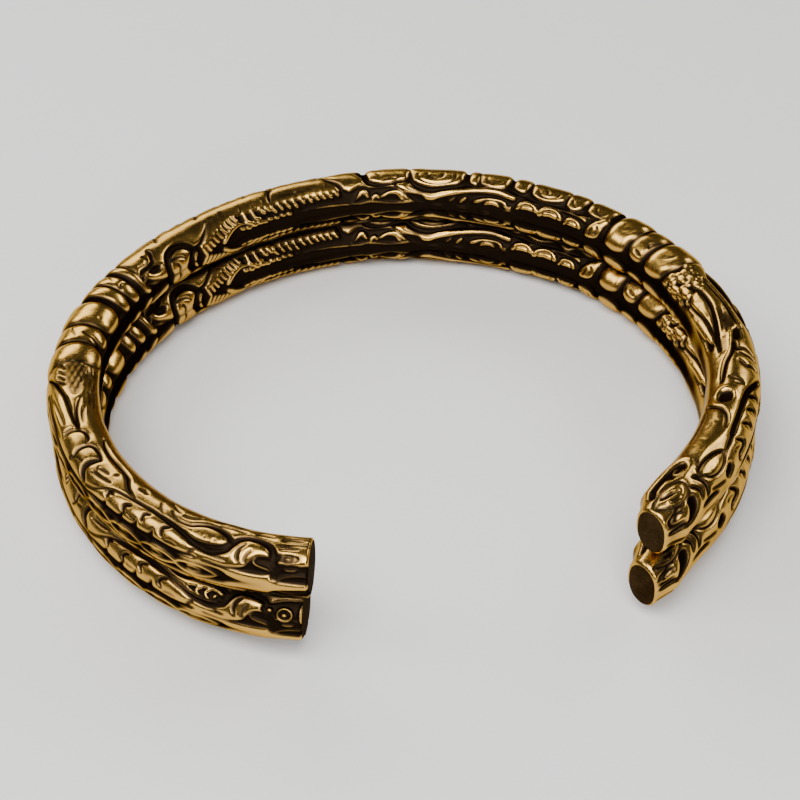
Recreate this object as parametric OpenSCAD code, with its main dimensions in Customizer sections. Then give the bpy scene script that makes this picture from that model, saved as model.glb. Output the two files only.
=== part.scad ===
// An open arm ring of two cast rods, one upon the other, bent to a C and soldered along their length.
// Both rods carry one relief: a dragon's head, a scaly leg and a neck on each arm, beads on each
// shoulder, and a tail, lobes and scrolls across the back.
// It lies on its side: the gap faces -Y, +Z is up, and the origin is in the middle of the surface under it.

/* [Rods] */
// Diameter of each rod over its relief
rod_d = 5.6; // [4.6:0.1:7]
// Depth from the top of the relief to its ground
relief_h = 0.45; // [0.15:0.05:0.6]
// Width of the solder seam between the rods
seam_w = 1.8; // [1.2:0.1:2.6]
// Height of the solder between the rods' nearest edges
seam_h = 0.25; // [0.1:0.05:0.5]
// Distance that the lower rod is set round towards the right end
lower_slide = 0.7; // [0:0.1:1.5]
// Angle that the lower rod's left arm is twisted outwards
lower_twist = 22; // [0:1:30]
// Height that the left end is bent up off the surface
left_end_lift = 1.3; // [0:0.1:2.6]
// Height that the right end is bent up off the surface
right_end_lift = 2; // [0:0.1:2.6]

/* [Bend of the centre line] */
// Radius of the left arm
left_arm_r = 26; // [22:0.5:32]
// Angle that the left arm turns through
left_arm_turn = 37; // [28:1:42]
// Radius of the left side
left_side_r = 29.5; // [26:0.5:33]
// Angle that the left side turns through
left_side_turn = 75; // [68:1:80]
// Radius of the back
back_r = 33.5; // [30:0.5:37]
// Angle that the back turns through
back_turn = 89; // [82:1:94]
// Radius of the right side
right_side_r = 30.5; // [27:0.5:34]
// Angle that the right side turns through
right_side_turn = 73; // [66:1:78]
// Radius of the right arm
right_arm_r = 34; // [29:0.5:40]
// Angle that the right arm turns through
right_arm_turn = 36; // [28:1:42]

/* [Hidden] */

// Bend of the centre line from the left end to the right end, each arc turning clockwise
ARC_R = 0;
ARC_TURN = 1;
ARCS = [
    [left_arm_r, left_arm_turn],
    [left_side_r, left_side_turn],
    [back_r, back_turn],
    [right_side_r, right_side_turn],
    [right_arm_r, right_arm_turn]
];

// Stretches of the rod between stations: share of its length at the far end, and steps up to there
STRETCH_TO = 0;
STRETCH_STEPS = 1;
STRETCHES = [
    [0.18, 34],
    [0.235, 8],
    [0.34, 28],
    [0.69, 52],
    [0.755, 18],
    [0.82, 9],
    [1, 34]
];

// Thickness along a rod: share of its length, and share of its diameter
THICKNESS = [
    [0, 0.97],
    [0.05, 1],
    [0.15, 0.96],
    [0.21, 1],
    [0.3, 1],
    [0.4, 0.97],
    [0.5, 0.97],
    [0.6, 1.02],
    [0.68, 0.98],
    [0.74, 1],
    [0.8, 1.06],
    [0.88, 1],
    [1, 1]
];

// Beads and collars round a rod: place along it, half width as a share of its diameter, and rise
BEAD_AT = 0;
BEAD_REACH = 1;
BEAD_RISE = 2;
BEADS = [
    [0.246, 0.25, 1.25],
    [0.2655, 0.13, 0.95],
    [0.287, 0.28, 1.3],
    [0.3065, 0.14, 0.95],
    [0.32, 0.11, 0.9],
    [0.333, 0.11, 0.9],
    [0.702, 0.22, 1.15],
    [0.7215, 0.14, 0.95],
    [0.742, 0.25, 1.25]
];

// Raised forms: place along the rod, angle up from its outer side, half length as a share of the
// rod's diameter, half width in degrees, and rise as a share of the relief's height
ALONG = 0;
ANGLE = 1;
REACH = 2;
SPREAD = 3;
RISE = 4;

// Forms of a head, its leg and neck, placed from the end that they belong to
ARM_FORMS = [
    [0.008, 78, 0.38, 36, 1],
    [0.010, 14, 0.34, 26, 0.8],
    [0.031, 60, 0.25, 24, 1.1],
    [0.046, 108, 0.34, 14, 0.9],
    [0.055, 70, 0.33, 15, 1.05],
    [0.076, 100, 0.52, 15, 0.9],
    [0.069, 45, 0.23, 18, 1],
    [0.086, 48, 0.24, 18, 1.05],
    [0.101, 50, 0.24, 18, 1.05],
    [0.117, 50, 0.26, 18, 1],
    [0.078, 8, 1, 12, 0.7],
    [0.118, 112, 0.85, 15, 0.9],
    [0.134, 68, 0.4, 22, 1.05],
    [0.157, 68, 0.22, 24, 1.1],
    [0.174, 46, 0.22, 22, 1]
];

// Forms between the arms, placed from the left end
BODY_FORMS = [
    [0.198, 56, 0.62, 17, 1],
    [0.19, 128, 1.7, 36, 0.75],
    [0.217, 86, 0.5, 26, 0.8],
    [0.343, 105, 0.3, 28, 1],
    [0.366, 156, 0.23, 24, 1.1],
    [0.386, 118, 0.5, 22, 1],
    [0.43, 96, 2.2, 30, 1],
    [0.506, 100, 0.24, 32, 0.9],
    [0.515, 142, 0.3, 18, 0.8],
    [0.532, 95, 0.38, 30, 1],
    [0.549, 140, 0.3, 12, 0.9],
    [0.565, 104, 0.46, 26, 1.1],
    [0.568, 149, 0.36, 12, 0.95],
    [0.586, 134, 0.36, 12, 0.95],
    [0.604, 97, 0.28, 18, 0.95],
    [0.605, 125, 0.36, 11, 0.9],
    [0.606, 150, 0.28, 14, 0.9],
    [0.632, 146, 0.24, 15, 0.95],
    [0.641, 100, 0.34, 28, 1.05],
    [0.649, 146, 0.24, 15, 1],
    [0.661, 104, 0.18, 28, 1],
    [0.667, 150, 0.2, 16, 0.95],
    [0.681, 104, 0.24, 34, 1],
    [0.681, 150, 0.2, 18, 0.9],
    [0.768, 120, 0.5, 46, 0.85],
    [0.828, 106, 1.7, 26, 1.15],
    [0.824, 146, 0.8, 16, 0.85]
];

// Rise of the plain wall that lies against the wrist, and the angle where it begins
WALL_RISE = 0.55;
WALL_FROM = 166;
// Exponent that gives a raised form its round top and steep edge
DOME_POWER = 0.6;
// Share of the length in the middle that lies flat on the surface
FLAT_SHARE = 0.5;
// Share of the length over which the lower rod's twist dies away
TWIST_SHARE = 0.3;
// Points round each rod, from one edge of the solder seam to the other
SIDES = 15;

// Running total of a list
function total(list, count) = count == 0 ? 0 : list[count - 1] + total(list, count - 1);

arc_lengths = [for (arc = ARCS) arc[ARC_R] * arc[ARC_TURN] * PI / 180];
rod_length = total(arc_lengths, len(ARCS));
full_turn = total([for (arc = ARCS) arc[ARC_TURN]], len(ARCS));
rod_r = rod_d / 2;
// Angle from the line between the rods' centres to the edge of the solder seam
seam_angle = asin(seam_w / rod_d);
rod_pitch = rod_d * cos(seam_angle) + seam_h;

// A place on the centre line is [x, y, heading], with the heading anticlockwise from +X.
// This moves it clockwise round an arc.
function turned(place, radius, turn) =
    let (heading = place[2] - turn)
    [
        place[0] + radius * (sin(place[2]) - sin(heading)),
        place[1] - radius * (cos(place[2]) - cos(heading)),
        heading
    ];

arc_starts = [
    for (
        i = 0, place = [0, 0, full_turn / 2];
        i < len(ARCS);
        place = turned(place, ARCS[i][ARC_R], ARCS[i][ARC_TURN]), i = i + 1
    )
    place
];

// Number of the arc that a distance from the left end lies on, the outer arcs running on past the ends
function arc_at(distance, i = 0) =
    i == len(ARCS) - 1 || distance < total(arc_lengths, i + 1) ? i : arc_at(distance, i + 1);

function centre_line(distance) =
    let (
        i = arc_at(distance),
        radius = ARCS[i][ARC_R],
        turn = (distance - total(arc_lengths, i)) / radius * 180 / PI
    )
    turned(arc_starts[i], radius, turn);

// Shares of the rod's length at which its section is drawn
stations = [
    0,
    for (i = [0 : len(STRETCHES) - 1])
    let (
        from = i == 0 ? 0 : STRETCHES[i - 1][STRETCH_TO],
        to = STRETCHES[i][STRETCH_TO],
        steps = STRETCHES[i][STRETCH_STEPS]
    )
    for (step = [1 : steps]) from + (to - from) * step / steps
];

function rounded(square_distance) = pow(max(0, 1 - square_distance), DOME_POWER);

// Rise of one raised form at a place on the rod
function form_rise(form, along, angle) =
    let (
        u = (along - form[ALONG]) * rod_length / (form[REACH] * rod_d),
        v = (angle - form[ANGLE]) / form[SPREAD]
    )
    form[RISE] * rounded(u * u + v * v);

function bead_rise(bead, along) =
    let (u = (along - bead[BEAD_AT]) * rod_length / (bead[BEAD_REACH] * rod_d))
    bead[BEAD_RISE] * rounded(u * u);

// Rise of the relief at a share of the length and an angle up from the outer side.
// What faces down repeats what faces up.
function relief(along, angle) =
    let (
        up = abs(angle > 180 ? angle - 360 : angle),
        wall = up > WALL_FROM ? WALL_RISE : 0
    )
    max([
        wall,
        for (form = ARM_FORMS) form_rise(form, along, up),
        for (form = ARM_FORMS) form_rise(form, 1 - along, up),
        for (form = BODY_FORMS) form_rise(form, along, up),
        for (bead = BEADS) bead_rise(bead, along)
    ]);

function lift(along) =
    (along < 0.5 ? left_end_lift : right_end_lift)
    * pow(max(0, abs(2 * along - 1) - FLAT_SHARE) / (1 - FLAT_SHARE), 2);

// A point of a rod's skin: where the rod's centre is, how far out, and at what angle
function skin_point(place, height, radius, angle) = [
    place[0] - radius * cos(angle) * sin(place[2]),
    place[1] + radius * cos(angle) * cos(place[2]),
    height + radius * sin(angle)
];

// Half of the section: one rod, from one edge of the seam round to the other.
// The seam's two edges keep the rod's full radius, so that the rods always meet.
function rod_section(along, slide, height, seam_at, twist) =
    let (
        place = centre_line(along * rod_length + slide),
        thick_r = rod_r * lookup(along, THICKNESS)
    )
    [
        for (i = [0 : SIDES - 1])
        let (
            angle = seam_at + seam_angle + (360 - 2 * seam_angle) * i / (SIDES - 1),
            at_seam = i == 0 || i == SIDES - 1,
            shown = (angle + twist) % 360,
            radius = at_seam ? rod_r : thick_r - relief_h * (1 - relief(along, shown))
        )
        skin_point(place, height + lift(along), radius, angle)
    ];

// Seen along the rods, the upper one runs from its outer seam edge over the top to its inner one,
// and the lower one from there under the bottom and back
function section(along) =
    let (twist = lower_twist * max(0, 1 - along / TWIST_SHARE))
    [
        each rod_section(along, 0, rod_r + rod_pitch, 270, 0),
        each rod_section(along, lower_slide, rod_r, 90, twist)
    ];

skin = [for (along = stations) each section(along)];
ring_size = 2 * SIDES;
last_ring = ring_size * (len(stations) - 1);

// Two triangles for each step along and round, wound clockwise as seen from outside
side_faces = [
    for (j = [0 : len(stations) - 2], i = [0 : ring_size - 1])
    let (
        here = j * ring_size + i,
        beside = j * ring_size + (i + 1) % ring_size,
        ahead = here + ring_size,
        across = beside + ring_size
    )
    each [[here, ahead, across], [here, across, beside]]
];

// Flat cut face of each rod, and the solder between them
left_end_faces = [
    [for (i = [0 : SIDES - 1]) i],
    [for (i = [SIDES : ring_size - 1]) i],
    [0, SIDES - 1, SIDES, ring_size - 1]
];
right_end_faces = [
    for (face = left_end_faces)
    [for (i = [len(face) - 1 : -1 : 0]) face[i] + last_ring]
];

lowest = [for (axis = [0 : 2]) min([for (point = skin) point[axis]])];
highest = [for (axis = [0 : 2]) max([for (point = skin) point[axis]])];
middle = (lowest + highest) / 2;

module arm_ring() {
    color([0.6, 0.47, 0.24])
    translate([-middle[0], -middle[1], -lowest[2]])
    polyhedron(points = skin, faces = [each side_faces, each left_end_faces, each right_end_faces]);
}

arm_ring();
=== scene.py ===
# An open arm ring of two cast brass rods, one upon the other, with dragons' heads at its ends.
# The rods follow the same path as the CAD part's, and one relief, drawn below on an unrolled rod,
# is carved into both. Sizes are in millimetres, and the meshes are in metres, as the frame is.
import math

import bpy
import numpy as np
from mathutils import Matrix, Vector


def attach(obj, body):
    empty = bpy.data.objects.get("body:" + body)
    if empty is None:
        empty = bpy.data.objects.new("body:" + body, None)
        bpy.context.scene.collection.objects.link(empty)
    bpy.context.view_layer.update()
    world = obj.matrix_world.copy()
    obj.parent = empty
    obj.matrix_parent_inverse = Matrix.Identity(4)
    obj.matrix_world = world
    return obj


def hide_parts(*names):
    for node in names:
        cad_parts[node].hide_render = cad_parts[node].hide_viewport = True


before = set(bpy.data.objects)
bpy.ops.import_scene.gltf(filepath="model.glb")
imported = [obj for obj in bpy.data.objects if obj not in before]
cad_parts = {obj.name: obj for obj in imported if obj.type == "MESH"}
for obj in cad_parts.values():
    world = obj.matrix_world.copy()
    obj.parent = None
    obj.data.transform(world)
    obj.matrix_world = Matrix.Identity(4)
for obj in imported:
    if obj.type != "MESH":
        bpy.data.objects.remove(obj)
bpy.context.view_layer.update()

# Sizes of the rods, with two values where the upper rod differs from the lower one
MM = 0.001
ROD_R = 2.8
SEAM_WIDTH = 1.8
SEAM_HEIGHT = 0.25
ROD_PITCH = 2 * ROD_R * math.cos(math.asin(SEAM_WIDTH / (2 * ROD_R))) + SEAM_HEIGHT
ROD_LEVEL = (ROD_R + ROD_PITCH, ROD_R)
SLIDE = (0, 0.7)
# Angle of the seam on each rod, and first seed of its dents
SEAM_ANGLE = (270, 90)
SEED = (1, 101)
# Turn of each rod's relief, in degrees outwards, and its shift, in mm, at shares of the length
RELIEF_TURN = ([(0, 0)], [(0, 25), (0.09, 18), (0.3, 0), (0.85, 0), (1, 9)])
RELIEF_SHIFT = ([(0, 0)], [(0, 0.3), (0.3, 0.4), (0.36, 0.5), (0.55, 1.1), (0.76, 1.1), (1, -0.3)])
# Lift of the two ends, and the share of the rod that lies flat
LEFT_LIFT = 1.3
RIGHT_LIFT = 2.0
FLAT_SHARE = 0.5

# Bend of the centre line from the left end to the right end: radius, and angle turned clockwise
ARCS = [(26, 37), (29.5, 75), (33.5, 89), (30.5, 73), (34, 36)]
ARC_LENGTHS = [radius * math.radians(turn) for radius, turn in ARCS]
ROD_LENGTH = sum(ARC_LENGTHS)
START_HEADING = sum(turn for _, turn in ARCS) / 2
# Middle of the plan and lowest level in the centre line's own coordinates
ORIGIN = (17.068, 25.414, -0.134)

# Thickness along a rod: share of its length, and share of its diameter
THICKNESS = [(0, 0.97), (0.05, 1), (0.15, 0.96), (0.21, 1), (0.3, 1), (0.4, 0.97), (0.5, 0.97),
             (0.6, 1.02), (0.68, 0.98), (0.74, 1), (0.8, 1.06), (0.88, 1), (1, 1)]

# Grid that the relief is drawn on: places along the rod, and places round it from its outer side
MM_PER_DEGREE = ROD_R * math.pi / 180
STEP = 0.1
GROUND = -0.45
ALONG = np.arange(-1, ROD_LENGTH + 1 + STEP, STEP)
ROUND = np.arange(-0.5, 9.3 + STEP, STEP)
HEIGHT = np.zeros((len(ALONG), len(ROUND)))
# How far short of the grid's end a place is kept, in cells, so that it always lies inside a cell
INSIDE = 1.001
# Share of the relief that is left sharp, and the reach of its rounding and of the rest's
SHARP_SHARE = 0.5
SHARP_REACH = 0.07
ROUND_REACH = 0.32

# Spacing of the points on a drawn line, and the margin round what it changes
LINE_STEP = 0.12
MARGIN = 0.1
# Thin ends of a stroke: least width, as a share, and the share of the stroke over which it grows
THIN_WIDTH = 0.25
THIN_SHARE = 0.8
# Side of a hollow: width of its slope, how far down it starts, as a share, and the rim beyond it
HOLLOW_SLOPE = 0.28
HOLLOW_START = 0.15
HOLLOW_RIM = 0.05
# Gain of incised lines, which rounding off takes away again
INCISE_GAIN = 1.35
INCISE_WIDEN = 1.15
# Knobs and the low rings round them: half widths, length of a knob, and by how much a ring is lower
KNOB_WIDTH = 0.24
KNOB_LENGTH = 0.08
RING_WIDTH = 0.17
RING_DROP = 0.1
# Distance from one tendril to the next
TENDRIL_PITCH = 3.85
# Pebbles: rounding of the edge, height, and growth against the sizes in their list
PEBBLE_EDGE = 0.36
PEBBLE_TOP = 0.12
PEBBLE_LENGTHEN = 1.32
PEBBLE_WIDEN = 1.26

# Angle of the ridge along the back, from which the relief there is mirrored outwards
BACK_RIDGE = [(56.2, 78), (60, 71), (82, 71), (85, 76), (90, 75), (116, 75)]
# Angle at which the wall against the wrist begins, its depth, and the width of its slope. Its depth is what
# makes the brass paint the wall dark, as painted shade
WALL_EDGE = [(0, 150), (20, 150), (30, 142), (38, 148), (41, 149), (50, 150), (58, 154), (60, 168),
             (62, 174), (64, 164), (66, 154), (70, 152), (85, 152), (100, 152), (112, 156), (120, 154),
             (127, 150), (133, 146), (140, 149), (150, 144), (160, 140), (168, 140)]
WALL_DEPTH = [(0, 0.12), (30, 0.2), (38, 0.32), (56, 0.36), (116, 0.36), (126, 0.34), (131, 0.24),
              (140, 0.16), (168, 0.12)]
WALL_SLOPE = 1.1

# Grid of a rod's mesh, and the distances along it where one piece ends and the next begins
ROW_STEP = 0.12
SIDES = 160
SPLITS = (50.45, 119.95)
# Dents of the casting: size of a dent, and depth
CAST_DENTS = [(2.6, 0.05), (1.3, 0.013), (0.6, 0.003)]
# Angles from the seam within which a rod is plain, and over which its relief then sets in
SEAM_PLAIN = 14
SEAM_BLEND = 16
END_ROUND = 0.22
# Snout at the right end: length of its slope, drop at its sides, and the share of it on top and below
SNOUT_LENGTH = 1.6
SNOUT_DROP = 1.0
SNOUT_TOP = 0.35
# Last stretch of the relief before the right end, and the reach of its fading
SNOUT_START = 1.0
SNOUT_CALM = 0.5
# By how much the right ends are drawn out, pushed outwards and drooped, on the upper rod and the lower one
SNOUT_STRETCH = (0.5, 0.65)
SNOUT_PUSH = (0.7, 0.95)
SNOUT_DROOP = (0.75, 1.1)
BEND_LENGTH = 6
# Darkening of the rods beside the groove between them: strength as a depth, the angle where it ends and
# over which it fades, and the distances from the right end where it starts and over which it grows
SEAM_DARKENING = 0.13
SEAM_DARKENING_END = 18
SEAM_DARKENING_FADE = 26
SEAM_DARKENING_START = 0.3
SEAM_DARKENING_GROWTH = 1.6
# Reaches over which a place is compared with what is round it, where their weights are cut off,
# and the columns repeated at the join so that the comparison goes on round the rod
RECESS_REACHES = (0.25, 0.6)
RECESS_CUT = 2.5
RECESS_WRAP = 24

# Solder between the rods: section as side and height, unevenness and its cell, steps along it, and seed
SOLDER_SECTION = [(-1, -0.2), (0, -0.25), (1, -0.2), (1.06, 0), (1, 0.2), (0, 0.25), (-1, 0.2), (-1.06, 0)]
SOLDER_ROUGH = 0.12
SOLDER_CELL = 1.3
SOLDER_STEP = 0.3
SOLDER_INSET = 0.35
SOLDER_RIGHT_INSET = 2.6
SOLDER_SEED = 301

# Colours of the brass; the darkest stands for patina in the hollows and for painted shade on the low wall
# and the left tendrils' sunk field
BRIGHT_BRASS = (0.62, 0.36, 0.078)
WARM_BRASS = (0.23, 0.137, 0.046)
BROWN_BRASS = (0.13, 0.076, 0.028)
PATINA_AND_SHADE = (0.013, 0.008, 0.0045)
# Tint of the metal where it is seen at a flat angle, on the bright metal and where it is darkened
EDGE_TINT = (0.8, 0.64, 0.4)
DARKENING_TINT = (0.1, 0.075, 0.045)
# Colours of the cut ends, of the solder where it is clean, and of the floor
CUT_DARK = (0.026, 0.017, 0.009)
CUT_BROWN = (0.05, 0.033, 0.017)
CUT_MARK = (0.1, 0.066, 0.03)
CUT_TINT = (0.2, 0.14, 0.08)
SOLDER_BROWN = (0.1, 0.065, 0.028)
FLOOR_COLOURS = ((0.74, 0.73, 0.71), (0.78, 0.77, 0.75))
# Depths, in mm, between which the metal goes from its own colour to black: below the top, and below what is
# round it. The black is patina in the hollows, and painted shade on the low wall and the left tendrils'
# sunk field
SUNK_FADE = (0.08, 0.26)
HIDDEN_FADE = (0.015, 0.12)
# How far it stands proud, in mm, where wear begins to brighten it and where it is wholly bright
WORN_FADE = (-0.065, 0.055)
# Middle values of a noise, between which one colour or gloss goes over into another
NOISE_MIDDLE = (0.3, 0.7)
# Blotches and grain that make the depths uneven, in mm, and the share of a place's height in its wear
BLOTCH_DEPTH = 0.05
GRAIN_DEPTH = 0.02
WEAR_HEIGHT = 0.5
# Roughness that full darkening adds, and the parts of grain and scratches in the bump
DARKENING_ROUGHNESS = 0.3
GRAIN_BUMP = 1.5
SCRATCH_BUMP = 0.5

# Soft lights: name, azimuth and elevation in degrees, distance, width and height in m, and power in W
LIGHTS = [("overhead", -15, 62, 0.5, 0.4, 0.32, 3.9), ("left", -82, 44, 0.55, 0.24, 0.18, 0.9),
          ("back_left", -150, 30, 0.6, 0.5, 0.24, 1.9), ("back_right", 125, 34, 0.6, 0.4, 0.16, 1.2),
          ("front", 15, 24, 0.6, 0.2, 0.07, 0.7)]
SKY_COLOUR = (0.3, 0.3, 0.31, 1)
SKY_STRENGTH = 0.22

# The photograph's viewpoint: angles in degrees, and distance, lens, sensor width and target in mm.
# The nearest distance that the camera sees is in metres
CAMERA_AZIMUTH = -18.43
CAMERA_ELEVATION = 40.13
CAMERA_ROLL = -0.47
CAMERA_DISTANCE = 201.6
CAMERA_LENS = 90.76
CAMERA_SENSOR = 36
CAMERA_CLIP = 0.005
CAMERA_TARGET = (-0.776, -1.557, 5.634)


def centre_line(distance):
    """Place and heading of the centre line at distances from its left end, in mm and radians."""
    distance = np.asarray(distance, float)
    x = np.zeros_like(distance)
    y = np.zeros_like(distance)
    heading = np.full_like(distance, math.radians(START_HEADING))
    run = 0
    for number, ((radius, _), length) in enumerate(zip(ARCS, ARC_LENGTHS)):
        low = -math.inf if number == 0 else 0
        high = math.inf if number == len(ARCS) - 1 else length
        turned = heading - np.clip(distance - run, low, high) / radius
        x += radius * (np.sin(heading) - np.sin(turned))
        y -= radius * (np.cos(heading) - np.cos(turned))
        heading = turned
        run += length
    return x, y, heading


def smooth(share):
    """A share from 0 to 1, eased at both ends."""
    share = np.clip(share, 0, 1)
    return share * share * (3 - 2 * share)


def rounded(share):
    """Quarter of a circle, from 1 at no share to 0 at the full one."""
    return np.sqrt(np.clip(1 - share ** 2, 0, 1))


def value_at(table, where):
    """Values at places, read between the (place, value) pairs of a table."""
    return np.interp(where, *zip(*table))


def turn_from(angle, other):
    """Smaller turn between two angles, in degrees."""
    return np.abs((angle - other + 180) % 360 - 180)


def blend(grid, i, j, after, u, v):
    """A grid's value at a share u from row i to the next, and a share v from column j to the one after."""
    return (grid[i, j] * (1 - u) * (1 - v) + grid[i + 1, j] * u * (1 - v)
            + grid[i, after] * (1 - u) * v + grid[i + 1, after] * u * v)


def curve(points, closed=False):
    """Smooth line through chosen (along, angle) points, as places in mm."""
    knots = np.array([(along, angle * MM_PER_DEGREE) for along, angle in points], float)
    if closed:
        ends = np.vstack([knots[-1], knots, knots[0], knots[1]])
    else:
        ends = np.vstack([2 * knots[0] - knots[1], knots, 2 * knots[-1] - knots[-2]])
    line = []
    for before, start, stop, after in zip(ends, ends[1:], ends[2:], ends[3:]):
        count = max(2, int(np.hypot(*(stop - start)) / LINE_STEP))
        t = (np.arange(count) / count)[:, None]
        line.append(0.5 * (2 * start + (stop - before) * t
                           + (2 * before - 5 * start + 4 * stop - after) * t ** 2
                           + (3 * start - before - 3 * stop + after) * t ** 3))
    line.append(ends[-2:-1])
    return np.vstack(line)


def around(line, reach):
    """The grid within reach of a line: window, places, distances from the line, and how far along it."""
    low, high = line.min(0) - reach, line.max(0) + reach
    i0, i1 = np.searchsorted(ALONG, (low[0], high[0]))
    j0, j1 = np.searchsorted(ROUND, (low[1], high[1]))
    window = (slice(i0, i1), slice(j0, j1))
    x, y = np.meshgrid(ALONG[window[0]], ROUND[window[1]], indexing="ij")
    nearest = np.full(x.shape, np.inf)
    share = np.zeros(x.shape)
    for k, (start, stop) in enumerate(zip(line, line[1:])):
        run = stop - start
        square = max(run @ run, 1e-9)
        t = np.clip(((x - start[0]) * run[0] + (y - start[1]) * run[1]) / square, 0, 1)
        gap = np.hypot(x - start[0] - t * run[0], y - start[1] - t * run[1])
        closer = gap < nearest
        nearest[closer] = gap[closer]
        share[closer] = (k + t[closer]) / (len(line) - 1)
    return window, x, y, nearest, share


def taper(share, ends):
    """Share of its width that a stroke has along its length."""
    if ends == "b":
        return np.sqrt(np.clip(1 - (2 * share - 1) ** 4, 0.02, 1))
    if ends == "s":
        return THIN_WIDTH + (1 - THIN_WIDTH) * smooth(share / THIN_SHARE)
    if ends == "e":
        return THIN_WIDTH + (1 - THIN_WIDTH) * smooth((1 - share) / THIN_SHARE)
    return np.ones_like(share)


def strokes(lines, half_width, ends, margin=0):
    """For each line: the grid round it, the distances from it, and the half width there.

    A line is thin at both ends (b), at its start (s), at its end (e), or nowhere.
    """
    for points in lines:
        window, _, _, gap, share = around(curve(points), half_width + margin)
        yield window, gap, half_width * taper(share, ends)


def hollow(half_width, depth, *lines, ends="b"):
    """Grooves down to a depth, flat in their floors."""
    for window, gap, width in strokes(lines, half_width, ends, MARGIN):
        cut = -depth * smooth((width - gap) / np.minimum(HOLLOW_SLOPE, width) + HOLLOW_START)
        HEIGHT[window] = np.minimum(HEIGHT[window], np.where(gap < width + HOLLOW_RIM, cut, np.inf))


def ridge(half_width, top, *lines, ends="b"):
    """Round-topped ridges that rise from the ground."""
    for window, gap, width in strokes(lines, half_width, ends):
        rise = GROUND + (top - GROUND) * rounded(gap / width)
        HEIGHT[window] = np.maximum(HEIGHT[window], np.where(gap < width, rise, -np.inf))


def incise(half_width, depth, *lines, ends="b"):
    """Fine lines cut into whatever is there."""
    for window, gap, width in strokes(lines, half_width * INCISE_WIDEN, ends):
        HEIGHT[window] -= depth * INCISE_GAIN * smooth(1 - gap / width)


def emboss(half_width, rise, *lines, ends="b"):
    """Fine lines raised on whatever is there."""
    incise(half_width, -rise, *lines, ends=ends)


def fields(outlines):
    """For each closed outline: the grid round it, the distances from it, and which places lie inside it."""
    for points in outlines:
        line = curve(points, closed=True)
        window, x, y, gap, _ = around(line, MARGIN)
        within = np.zeros(x.shape, bool)
        for start, stop in zip(line, np.roll(line, -1, 0)):
            crosses = (start[1] > y) != (stop[1] > y)
            slope = (stop[0] - start[0]) / (stop[1] - start[1] if stop[1] != start[1] else 1e-9)
            within ^= crosses & (x < start[0] + (y - start[1]) * slope)
        yield window, gap, within


def pad(edge, top, *outlines):
    """Raised forms, which round down to the ground over their edges."""
    for window, gap, within in fields(outlines):
        rise = GROUND + (top - GROUND) * rounded(1 - np.clip(gap / edge, 0, 1))
        HEIGHT[window] = np.where(within, np.maximum(HEIGHT[window], rise), HEIGHT[window])


def pool(edge, depth, *outlines):
    """Sunk fields."""
    for window, gap, within in fields(outlines):
        floor = -depth * smooth(gap / edge)
        HEIGHT[window] = np.where(within, np.minimum(HEIGHT[window], floor), HEIGHT[window])


def knob(along, angle, top):
    """A small round knob."""
    ridge(KNOB_WIDTH, top, [(along - KNOB_LENGTH / 2, angle), (along + KNOB_LENGTH / 2, angle)], ends="")


def ringed_knob(along, angle, reach, top):
    """A knob in the middle of a low ring."""
    turns = [math.radians(30 * k) for k in range(13)]
    ring = [(along + reach * math.cos(turn), angle + reach / MM_PER_DEGREE * math.sin(turn))
            for turn in turns]
    ridge(RING_WIDTH, top - RING_DROP, ring, ends="")
    knob(along, angle, top)


def blurred(height, reach):
    """Gaussian blur with a reach in mm."""
    offsets = np.arange(-3 * reach, 3 * reach + STEP / 2, STEP)
    weights = np.exp(-0.5 * (offsets / reach) ** 2)
    weights /= weights.sum()
    pad_by = len(weights) // 2
    for axis in (0, 1):
        widths = [(0, 0), (0, 0)]
        widths[axis] = (pad_by, len(weights) - 1 - pad_by)
        padded = np.pad(height, widths, mode="edge")
        height = sum(w * np.take(padded, np.arange(k, k + height.shape[axis]), axis)
                     for k, w in enumerate(weights))
    return height


def wall():
    """The side that lies against the wrist, lower and plainer than the rest, and low enough that the brass
    paints it dark, as painted shade.
    """
    edge = value_at(WALL_EDGE, ALONG)[:, None] * MM_PER_DEGREE
    depth = value_at(WALL_DEPTH, ALONG)[:, None]
    HEIGHT[:] = -depth * smooth((ROUND[None] - edge) / WALL_SLOPE)


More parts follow.
